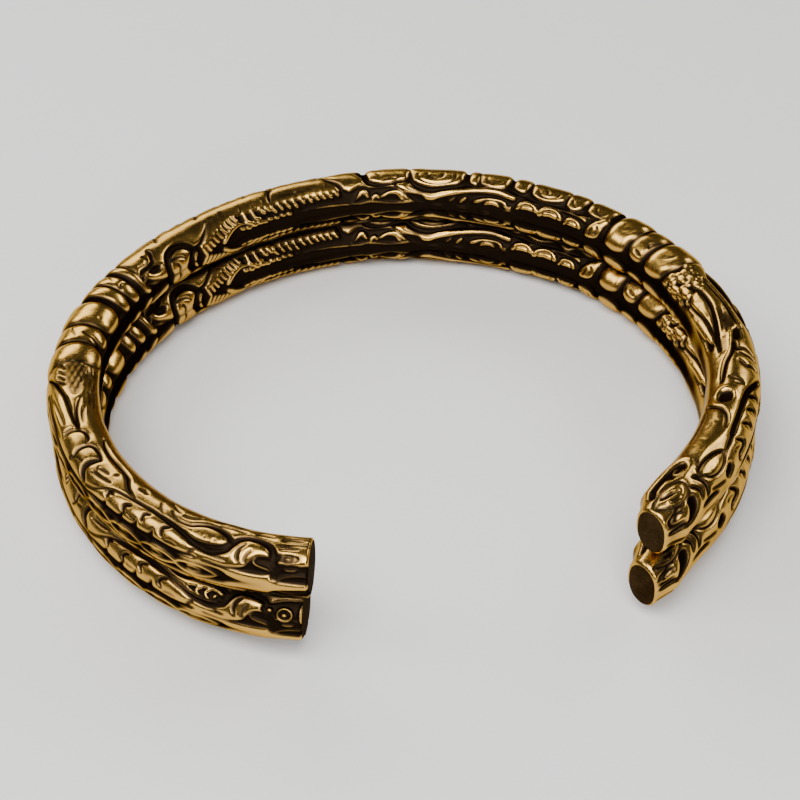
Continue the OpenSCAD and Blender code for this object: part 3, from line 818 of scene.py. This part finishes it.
def right_head():
    """The right dragon's head, from the brow to the cut end."""
    # eye under its brow
    hollow(0.24, 0.43, [(157.2, 61), (157.9, 70), (158.9, 77), (160.2, 79.5), (161.2, 76), (161.8, 68)])
    hollow(0.17, 0.42, [(157.6, 57), (158.1, 49), (158.9, 43), (159.9, 42), (160.8, 48), (161.4, 58)])
    pad(0.45, 0.1, [(158.1, 56), (158.6, 49), (159.3, 46), (160.1, 47), (160.6, 54), (160.6, 61),
        (159.8, 66), (158.8, 64)])
    emboss(0.16, 0.08, [(157.7, 47), (158.3, 40.5), (159.3, 37), (160.4, 38.5), (161.2, 45)])
    hollow(0.14, 0.34, [(160.35, 99), (160.5, 90), (160.9, 84)])
    hollow(0.15, 0.36, [(160.9, 50), (161.7, 62), (162.4, 76)])
    pad(0.3, 0.06, [(161.2, 80), (161.5, 86), (162.1, 86), (162.4, 80), (162, 75), (161.5, 75)])
    # horn in its pit
    emboss(0.22, 0.1, [(160.5, 96), (160.35, 108), (160.6, 119), (161.4, 126), (162.6, 128), (164.4, 125)])
    pool(0.3, 0.46, [(161, 106), (161.2, 117), (162.2, 124), (163.6, 129), (165.3, 132), (166.7, 131),
        (166.9, 122), (166.9, 112), (166.7, 104), (165.6, 101), (164.2, 101), (163, 93), (161.8, 95)])
    ridge(0.24, -0.04, [(162, 103), (162.5, 98), (163.2, 102), (163.2, 110), (162.5, 113), (162, 109)])
    # round nose, with a bright face between it and the cut end
    pad(0.5, 0.1, [(163.9, 107), (164.3, 114), (165.2, 117), (166.3, 115), (166.8, 108), (166.4, 102),
        (165.3, 100), (164.2, 101)])
    emboss(0.18, 0.08, [(161.2, 92), (162.2, 88), (163.4, 84.5), (164.2, 81)])
    # curl beside the nose
    hollow(0.14, 0.38, [(163.8, 86), (163.7, 73), (164.4, 59), (165.7, 56), (166.6, 65), (167.1, 79),
        (167.4, 92), (166.9, 103), (165.7, 101), (164.6, 95), (163.8, 86)], ends="")
    pad(0.22, 0.14, [(164.1, 84), (164.05, 73), (164.7, 63), (165.6, 60.5), (166.3, 68), (166.7, 80),
        (167, 91), (166.6, 99.5), (165.8, 97), (164.9, 91)])
    hollow(0.26, 0.42, [(166.5, 93), (166.1, 87), (165.5, 81), (164.9, 74)], ends="e")
    hollow(0.16, 0.34, [(166.3, 76), (165.9, 70), (165.2, 66)])
    incise(0.13, 0.26, [(167.1, 54), (167.7, 44), (167.5, 34)])
    # cheek
    incise(0.21, 0.38, [(162.6, 74), (162.1, 60), (161.95, 46), (162.1, 32), (162.4, 24)],
        [(163.7, 64), (163.15, 54), (162.95, 42), (163.25, 29)])
    incise(0.11, 0.14, [(162.9, 68), (162.55, 54), (162.5, 42)])
    pool(0.3, 0.46, [(163.7, 38), (163.8, 50), (164.4, 55), (165.1, 50), (165.2, 38), (165.7, 24),
        (166.4, 14), (165.2, 8), (164.1, 20)])
    # coiled knob
    hollow(0.19, 0.42, [(165.5, 52), (166.1, 56), (167, 52), (167.3, 42), (166.9, 31), (166.1, 29)])
    incise(0.17, 0.36, [(165.9, 40), (166.1, 47), (166.6, 48), (166.8, 41)])
    hollow(0.3, 0.4, [(166.2, 20), (167.2, 20), (168.6, 24)], ends="")
    hollow(0.3, 0.36, [(160.6, 12), (161.8, 15), (163.4, 12)])
    incise(0.2, 0.26, [(159.2, 18), (160.4, 22), (161.6, 28)])


def outer_back():
    """What only shows over the horizon of the back: long plates that overlap down the tail's outer side."""
    for start, top in ((60.8, 84), (62.7, 62), (64.4, 63), (66.4, 82), (69.2, 64), (70.9, 61), (72.6, 78),
            (74.3, 63), (75.7, 84), (77.4, 62), (79.1, 64), (80.8, 80), (82.5, 63)):
        hollow(0.17, 0.3, [(start + 0.2, top), (start + 0.9, 56), (start + 1.7, 38), (start + 2.2, 14)])
        incise(0.12, 0.14, [(start + 1.3, 56), (start + 1.9, 42)])
    hollow(0.3, 0.4, [(59.6, 12), (66, 8), (72, 12), (78, 8), (84, 12)])


def lower_eye():
    """A ball between two rings in the eye, which only the lower rod has."""
    pool(0.2, 0.36, [(7, 66), (8, 78), (9.4, 77), (11, 70), (10.2, 61), (8.6, 57), (7.5, 59)])
    ridge(0.34, 0.06, [(7.95, 66.5), (8.1, 68)])
    ridge(0.19, 0.04, [(8.5, 78), (8.95, 69), (8.6, 59)])
    ridge(0.19, 0.05, [(9.3, 77), (9.85, 69), (9.5, 60)])
    emboss(0.2, 0.12, [(7.6, 54), (9.4, 54.5), (11.2, 62), (13, 73)])


def lower_knobs():
    """Two knobs in a sunk field over the mouth, as only the lower rod's left end has them."""
    pool(0.25, 0.42, [(-1, 46), (-1, 88), (1.2, 91), (2.6, 85), (3.6, 77), (3.95, 65), (3.3, 53), (2.2, 46),
        (0.8, 43)])
    knob(3.05, 66, -0.04)
    ringed_knob(1.75, 59, 0.62, -0.06)
    ridge(0.17, -0.08, [(0.25, 86), (0.35, 70), (0.35, 54), (0.2, 40)])
    emboss(0.18, 0.12, [(4, 90), (3.6, 101), (3.1, 114), (2.4, 123)])


def mirror_back():
    """Repeats the back's relief on its outer side, mirrored about the ridge of the back."""
    rows = (ALONG > BACK_RIDGE[0][0]) & (ALONG < BACK_RIDGE[-1][0])
    middle = value_at(BACK_RIDGE, ALONG[rows])[:, None] * MM_PER_DEGREE
    source = np.where(ROUND[None] < middle, 2 * middle - ROUND[None], ROUND[None])
    column = np.clip((source - ROUND[0]) / STEP, 0, len(ROUND) - INSIDE)
    j = column.astype(int)
    part = HEIGHT[rows]
    left = np.take_along_axis(part, j, 1)
    right = np.take_along_axis(part, j + 1, 1)
    HEIGHT[rows] = left + (right - left) * (column - j)


def draw_relief():
    """Draws every form, then rounds it all as casting and wear do."""
    for form in (wall, left_head, left_tendrils, left_leg, left_shoulder, left_beads, left_scrolls, tail,
                 lozenges, wave, shells, right_beads, right_shoulder, right_tendrils, right_leg, right_head,
                 mirror_back, outer_back):
        form()
    sharp = blurred(HEIGHT, SHARP_REACH)
    soft = blurred(HEIGHT, ROUND_REACH)
    HEIGHT[:] = SHARP_SHARE * sharp + (1 - SHARP_SHARE) * soft


def relief_at(along, angle):
    """Height of the relief at places along the rod, in mm, and angles up from its outer side."""
    row = np.clip((along - ALONG[0]) / STEP, 0, len(ALONG) - INSIDE)
    column = np.clip((turn_from(angle, 0) * MM_PER_DEGREE - ROUND[0]) / STEP, 0, len(ROUND) - INSIDE)
    i, j = row.astype(int), column.astype(int)
    return blend(HEIGHT, i, j, j + 1, row - i, column - j)


def uneven(shape, cells, seed):
    """Smooth random field over a grid, between about -1 and 1, the same each run, closed round the rod."""
    knots = np.random.default_rng(seed).uniform(-1, 1, (cells[0] + 2, cells[1]))
    row = np.linspace(0, cells[0], shape[0])[:, None]
    column = (np.arange(shape[1]) * cells[1] / shape[1])[None]
    i, j = row.astype(int), column.astype(int)
    return blend(knots, i, j, (j + 1) % cells[1], smooth(row - i), smooth(column - j))


def lift_at(share):
    """How far a rod is lifted off the floor at shares of its length."""
    return (np.where(share < 0.5, LEFT_LIFT, RIGHT_LIFT)
            * (np.maximum(0, np.abs(2 * share - 1) - FLAT_SHARE) / (1 - FLAT_SHARE)) ** 2)


def outwards(x, y, heading, reach):
    """Places that lie a reach away from a line, towards the outer side of its bend."""
    return x - reach * np.sin(heading), y + reach * np.cos(heading)


def rod_skin(rod):
    """Points, centres, heights and recess depths of the upper rod (0) or the lower one (1), on a grid."""
    rows = int(ROD_LENGTH / ROW_STEP) + 1
    along = np.linspace(0, ROD_LENGTH, rows)[:, None] * np.ones((1, SIDES))
    angle = np.ones((rows, 1)) * (np.arange(SIDES) * 360 / SIDES)[None]
    share = along / ROD_LENGTH
    to_end = ROD_LENGTH - along
    from_seam = turn_from(angle, SEAM_ANGLE[rod])
    height = relief_at(along + value_at(RELIEF_SHIFT[rod], share),
                       angle + value_at(RELIEF_TURN[rod], share))
    for seed, (cell, depth) in enumerate(CAST_DENTS, SEED[rod]):
        cells = (int(ROD_LENGTH / cell), int(2 * math.pi * ROD_R / cell))
        height = height + depth * uneven(height.shape, cells, seed)
    # plain beside the seam, and calm at the right end
    worn = smooth((from_seam - SEAM_PLAIN) / SEAM_BLEND)
    height = height * worn * smooth(to_end / SNOUT_CALM)
    # rounded edges of the ends, and the slope of the snout
    thick = ROD_R * (1 + (value_at(THICKNESS, share) - 1) * worn)
    from_end = np.minimum(along, to_end)
    edge = END_ROUND - np.sqrt(np.maximum(0, END_ROUND ** 2 - np.maximum(0, END_ROUND - from_end) ** 2))
    snout = np.clip(1 - to_end / SNOUT_LENGTH, 0, 1)
    sideways = np.cos(np.radians(angle)) ** 2
    radius = thick + height - edge - SNOUT_DROP * snout * (SNOUT_TOP + (1 - SNOUT_TOP) * sideways)
    # place on the centre line, which bends away at the right end
    bend = np.maximum(0, 1 - to_end / BEND_LENGTH) ** 2
    stretch = SNOUT_STRETCH[rod] * np.maximum(0, 1 - to_end / SNOUT_START)
    x, y, heading = centre_line(along + SLIDE[rod] + stretch)
    x, y = outwards(x, y, heading, SNOUT_PUSH[rod] * bend)
    level = lift_at(share) + ROD_LEVEL[rod] - SNOUT_DROOP[rod] * bend
    points = np.stack([*outwards(x, y, heading, radius * np.cos(np.radians(angle))),
                       level + radius * np.sin(np.radians(angle))], -1)
    centres = np.stack([x[:, 0], y[:, 0], level[:, 0]], -1)
    # darker beside the groove between the rods, fading in from the right end
    darkening = 1 - smooth((from_seam - SEAM_DARKENING_END) / SEAM_DARKENING_FADE)
    darkening = darkening * smooth((to_end - SEAM_DARKENING_START) / SEAM_DARKENING_GROWTH)
    return points, centres, height, recess_depth(height) + SEAM_DARKENING * darkening


def recess_depth(height):
    """How far each place lies below what is round it, in mm."""
    wide = np.concatenate([height[:, -RECESS_WRAP:], height, height[:, :RECESS_WRAP]], 1)
    mean = np.zeros_like(height)
    for reach in RECESS_REACHES:
        last = int(RECESS_CUT * reach / ROW_STEP)
        steps = np.arange(-last, last + 1)
        weights = np.exp(-0.5 * (steps * ROW_STEP / reach) ** 2)
        weights /= weights.sum()
        padded = np.pad(wide, ((last, last), (0, 0)), mode="edge")
        down = sum(w * padded[k:k + len(wide)] for k, w in enumerate(weights))
        across = sum(w * np.roll(down, s, 1) for w, s in zip(weights, steps))
        mean += across[:, RECESS_WRAP:-RECESS_WRAP] / len(RECESS_REACHES)
    return mean - height


def in_frame(places):
    """Places of the centre line's own coordinates, in the frame's metres."""
    return (places - np.array(ORIGIN)) * MM


def brass_piece(name, mesh, *materials):
    """Puts a mesh in the scene as a piece of the ring."""
    for material in materials:
        mesh.materials.append(material)
    piece = bpy.data.objects.new(name, mesh)
    bpy.context.scene.collection.objects.link(piece)
    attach(piece, "root")
    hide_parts("arm_ring")


def attribute(mesh, name, values):
    """Keeps a value for each point of the skin. The middles of the two caps get none."""
    layer = mesh.attributes.new(name, "FLOAT", "POINT")
    layer.data.foreach_set("value", np.concatenate([values.ravel(), [0, 0]]).astype(np.float32))


def rod_piece(name, skin, first, last, materials):
    """One closed mesh of a stretch of a rod, between two rows of its grid, with flat caps."""
    points, centres, height, recess = (part[first:last + 1] for part in skin)
    rows = len(points)
    count = rows * SIDES
    places = np.concatenate([points.reshape(-1, 3), centres[[0, -1]]])
    i, j = np.meshgrid(np.arange(rows - 1), np.arange(SIDES), indexing="ij")
    here = (i * SIDES + j).ravel()
    beside = (i * SIDES + (j + 1) % SIDES).ravel()
    quads = np.stack([here, beside, beside + SIDES, here + SIDES], 1)
    side = np.arange(SIDES)
    after = (side + 1) % SIDES
    start = np.stack([after, side, np.full(SIDES, count)], 1)
    stop = np.stack([side, after, np.full(SIDES, count + 1)], 1)
    stop[:, :2] += count - SIDES
    corners = np.concatenate([quads.ravel(), start.ravel(), stop.ravel()])
    sizes = np.concatenate([np.full(len(quads), 4), np.full(2 * SIDES, 3)])
    mesh = bpy.data.meshes.new(name)
    mesh.vertices.add(len(places))
    mesh.vertices.foreach_set("co", in_frame(places).astype(np.float32).ravel())
    mesh.loops.add(len(corners))
    mesh.loops.foreach_set("vertex_index", corners.astype(np.int32))
    mesh.polygons.add(len(sizes))
    mesh.polygons.foreach_set("loop_start", (np.cumsum(sizes) - sizes).astype(np.int32))
    mesh.update(calc_edges=True)
    mesh.validate()
    mesh.polygons.foreach_set("use_smooth", sizes == 4)
    attribute(mesh, "raised", height)
    attribute(mesh, "recess", recess)
    # the second material is for the cut ends
    slots = np.zeros(len(sizes), np.int32)
    if first == 0:
        slots[len(quads):len(quads) + SIDES] = 1
    if last == len(skin[0]) - 1:
        slots[len(quads) + SIDES:] = 1
    mesh.polygons.foreach_set("material_index", slots)
    brass_piece(name, mesh, *materials)


def rods():
    """Both rods, each in three pieces that part in a dark groove beside the beads."""
    materials = (carved_brass(), cut_brass())
    for rod, level in enumerate(("upper", "lower")):
        if level == "lower":
            lower_eye()
            lower_knobs()
        skin = rod_skin(rod)
        last = len(skin[0]) - 1
        cuts = [0]
        for split in SPLITS:
            shift = value_at(RELIEF_SHIFT[rod], split / ROD_LENGTH)
            cuts.append(int(round((split - shift) / ROD_LENGTH * last)))
        cuts.append(last)
        for part, first, end in zip(("left_arm", "back", "right_arm"), cuts, cuts[1:]):
            rod_piece(f"{level}_{part}", skin, first, end, materials)


def solder_bar():
    """The solder that fills the groove between the rods, as one closed bar."""
    rows = int(ROD_LENGTH / SOLDER_STEP)
    count = len(SOLDER_SECTION)
    along = np.linspace(SOLDER_INSET, ROD_LENGTH - SOLDER_RIGHT_INSET, rows)
    x, y, heading = centre_line(along + SLIDE[1] / 2)
    level = lift_at(along / ROD_LENGTH) + ROD_R + ROD_PITCH / 2
    rough = uneven((rows, count), (int(ROD_LENGTH / SOLDER_CELL), count), SOLDER_SEED)
    places = []
    for k, (side, up) in enumerate(SOLDER_SECTION):
        reach = side * (SEAM_WIDTH / 2 + SOLDER_ROUGH * rough[:, k])
        places.append(np.stack([*outwards(x, y, heading, reach), level + up], -1))
    faces = []
    for row in range(0, (rows - 1) * count, count):
        for k in range(count):
            here, beside = row + k, row + (k + 1) % count
            faces.append((here, beside, beside + count, here + count))
    faces.append(tuple(range(count - 1, -1, -1)))
    faces.append(tuple(range((rows - 1) * count, rows * count)))
    mesh = bpy.data.meshes.new("solder")
    mesh.from_pydata(in_frame(np.stack(places, 1).reshape(-1, 3)).tolist(), [], faces)
    mesh.shade_smooth()
    brass_piece("solder", mesh, dark_solder())


class Nodes:
    """A material's nodes, made and joined in one call each."""

    def __init__(self, name, metallic=1.0):
        self.material = bpy.data.materials.new(name)
        self.material.use_nodes = True
        self.tree = self.material.node_tree
        self.shader = self.tree.nodes["Principled BSDF"]
        self.shader.inputs["Metallic"].default_value = metallic
        self.places = self.add("ShaderNodeTexCoord").outputs["Object"]

    def fill(self, socket, value):
        """Joins a socket to another one, or sets it to a constant."""
        if isinstance(value, bpy.types.NodeSocket):
            self.tree.links.new(value, socket)
        else:
            socket.default_value = value

    def add(self, kind, inputs=(), **settings):
        node = self.tree.nodes.new(kind)
        for key, value in settings.items():
            setattr(node, key, value)
        for socket, value in dict(inputs).items():
            self.fill(node.inputs[socket], value)
        return node

    def attribute(self, name):
        return self.add("ShaderNodeAttribute", attribute_name=name).outputs["Fac"]

    def number(self, operation, *values):
        return self.add("ShaderNodeMath", dict(enumerate(values)), operation=operation).outputs[0]

    def spread(self, value, span, to=(0.0, 1.0)):
        """Eases a value from one span to another."""
        names = ("Value", "From Min", "From Max", "To Min", "To Max")
        inputs = dict(zip(names, (value, *span, *to)))
        return self.add("ShaderNodeMapRange", inputs, interpolation_type="SMOOTHSTEP").outputs[0]

    def noise(self, scale, detail, places=None):
        places = self.places if places is None else places
        inputs = {"Vector": places, "Scale": scale, "Detail": detail, "Roughness": 0.55}
        return self.add("ShaderNodeTexNoise", inputs).outputs[0]

    def scratches(self, turn, thin, scale, detail):
        """A noise drawn out into fine lines, thinner than they are long by the number given."""
        inputs = {"Vector": self.places, "Rotation": turn, "Scale": (1.0, thin, thin)}
        return self.noise(scale, detail, self.add("ShaderNodeMapping", inputs).outputs[0])

    def mixed(self, share, first, second):
        """A colour between two colours, each a socket or three numbers."""
        first, second = (colour if isinstance(colour, bpy.types.NodeSocket) else (*colour, 1)
                         for colour in (first, second))
        return self.add("ShaderNodeMix", {0: share, 6: first, 7: second}, data_type="RGBA").outputs[2]

    def shade(self, **looks):
        """Sets the shader's inputs, named with an underscore for each space."""
        for name, value in looks.items():
            self.fill(self.shader.inputs[name.replace("_", " ")], value)

    def bump(self, height, distance, strength):
        inputs = {"Height": height, "Distance": distance, "Strength": strength}
        self.shade(Normal=self.add("ShaderNodeBump", inputs).outputs[0])


def carved_brass():
    """Cast brass: worn bright on what stands proud, brown between, and black in the recesses: patina in the
    relief's hollows, and painted shade on the low wall against the wrist and in the left tendrils' sunk
    field.
    """
    nodes = Nodes("carved_brass")
    raised = nodes.attribute("raised")
    recess = nodes.attribute("recess")
    blotch = nodes.noise(scale=260, detail=4)
    grain = nodes.noise(scale=1900, detail=3)
    # depth below the top, made uneven by the blotches
    depth = nodes.number("ADD", nodes.number("MULTIPLY", raised, -1.0),
                         nodes.number("MULTIPLY", nodes.number("SUBTRACT", blotch, 0.5), BLOTCH_DEPTH))
    # sunk places turn black: patina in the hollows, and painted shade where the wall and the left tendrils'
    # field lie low
    sunk = nodes.spread(depth, SUNK_FADE)
    hidden = nodes.spread(nodes.number("ADD", recess, nodes.number("MULTIPLY", grain, GRAIN_DEPTH)),
                          HIDDEN_FADE)
    darkening = nodes.number("MAXIMUM", sunk, hidden)
    proud = nodes.number("SUBTRACT", nodes.number("MULTIPLY", depth, -WEAR_HEIGHT), recess)
    body = nodes.mixed(nodes.spread(blotch, NOISE_MIDDLE), BROWN_BRASS, WARM_BRASS)
    gold = nodes.mixed(nodes.spread(proud, WORN_FADE), body, BRIGHT_BRASS)
    # gloss: polished by wear, dull where the metal is darkened
    gloss = nodes.number("ADD", nodes.spread(grain, NOISE_MIDDLE, to=(0.19, 0.26)),
                         nodes.number("MULTIPLY", darkening, DARKENING_ROUGHNESS))
    nodes.shade(Base_Color=nodes.mixed(darkening, gold, PATINA_AND_SHADE), Roughness=gloss,
                Specular_Tint=nodes.mixed(darkening, EDGE_TINT, DARKENING_TINT))
    # skin of the casting, and two sets of scratches
    fine = nodes.noise(scale=5200, detail=2)
    first = nodes.scratches(turn=(0.3, 0.2, 0.5), thin=14, scale=700, detail=2)
    second = nodes.scratches(turn=(0.1, 0.6, 2.1), thin=16, scale=600, detail=2)
    scratches = nodes.number("ADD", nodes.spread(first, (0.6, 0.66)), nodes.spread(second, (0.61, 0.66)))
    skin = nodes.number("ADD", fine, nodes.number("MULTIPLY", grain, GRAIN_BUMP))
    height = nodes.number("SUBTRACT", skin, nodes.number("MULTIPLY", scratches, SCRATCH_BUMP))
    nodes.bump(height, distance=0.000007, strength=0.5)
    return nodes.material


def cut_brass():
    """The flat ends: sawn, filed and tarnished to an olive brown, with fine marks across them."""
    nodes = Nodes("cut_brass")
    blotch = nodes.noise(scale=420, detail=4)
    marks = nodes.scratches(turn=(0.5, 0.3, 0.2), thin=10, scale=900, detail=3)
    body = nodes.mixed(nodes.spread(blotch, NOISE_MIDDLE), CUT_DARK, CUT_BROWN)
    nodes.shade(Base_Color=nodes.mixed(nodes.spread(marks, (0.5, 0.75)), body, CUT_MARK),
                Roughness=nodes.spread(blotch, NOISE_MIDDLE, to=(0.42, 0.55)), Specular_Tint=(*CUT_TINT, 1))
    nodes.bump(marks, distance=0.00003, strength=0.5)
    return nodes.material


def dark_solder():
    """Solder and dirt in the groove between the rods."""
    nodes = Nodes("dark_solder")
    blotch = nodes.noise(scale=700, detail=4)
    nodes.shade(Base_Color=nodes.mixed(nodes.spread(blotch, (0.35, 0.75)), PATINA_AND_SHADE, SOLDER_BROWN),
                Roughness=nodes.spread(blotch, NOISE_MIDDLE, to=(0.7, 0.45)))
    nodes.bump(blotch, distance=0.0001, strength=0.6)
    return nodes.material


def pale_floor():
    """Plain pale floor under the ring."""
    nodes = Nodes("pale_floor", metallic=0.0)
    nodes.shade(Base_Color=nodes.mixed(nodes.noise(scale=6, detail=2), *FLOOR_COLOURS), Roughness=0.6)
    mesh = bpy.data.meshes.new("floor")
    reach = 2.0
    mesh.from_pydata([(-reach, -reach, 0), (reach, -reach, 0), (reach, reach, 0), (-reach, reach, 0)], [],
                     [(0, 1, 2, 3)])
    mesh.materials.append(nodes.material)
    floor = bpy.data.objects.new("floor", mesh)
    bpy.context.scene.collection.objects.link(floor)


def direction(azimuth, elevation):
    """Unit vector from the ring towards a place that is seen at these angles, in degrees."""
    turn = math.radians(azimuth)
    rise = math.radians(elevation)
    return Vector((math.sin(turn) * math.cos(rise), -math.cos(turn) * math.cos(rise), math.sin(rise)))


def lights():
    """Soft boxes that face the ring, with azimuth 0 behind the camera, and a dim light from all round."""
    for name, azimuth, elevation, distance, width, height, power in LIGHTS:
        away = direction(azimuth + CAMERA_AZIMUTH, elevation)
        light = bpy.data.lights.new(name, "AREA")
        light.shape = "RECTANGLE"
        light.size = width
        light.size_y = height
        light.energy = power
        lamp = bpy.data.objects.new(name, light)
        lamp.location = away * distance
        lamp.rotation_euler = away.to_track_quat("Z", "Y").to_euler()
        bpy.context.scene.collection.objects.link(lamp)
    world = bpy.data.worlds.new("studio")
    world.use_nodes = True
    sky = world.node_tree.nodes["Background"]
    sky.inputs["Color"].default_value = SKY_COLOUR
    sky.inputs["Strength"].default_value = SKY_STRENGTH
    bpy.context.scene.world = world


def camera():
    """The photograph's viewpoint."""
    away = direction(CAMERA_AZIMUTH, CAMERA_ELEVATION)
    lens = bpy.data.cameras.new("camera")
    lens.sensor_width = CAMERA_SENSOR
    lens.lens = CAMERA_LENS
    lens.clip_start = CAMERA_CLIP
    shot = bpy.data.objects.new("camera", lens)
    place = Matrix.Translation(Vector(CAMERA_TARGET) * MM + away * CAMERA_DISTANCE * MM)
    facing = away.to_track_quat("Z", "Y").to_matrix().to_4x4()
    shot.matrix_world = place @ facing @ Matrix.Rotation(math.radians(CAMERA_ROLL), 4, "Z")
    bpy.context.scene.collection.objects.link(shot)
    bpy.context.scene.camera = shot


camera()
lights()
pale_floor()
draw_relief()
rods()
solder_bar()
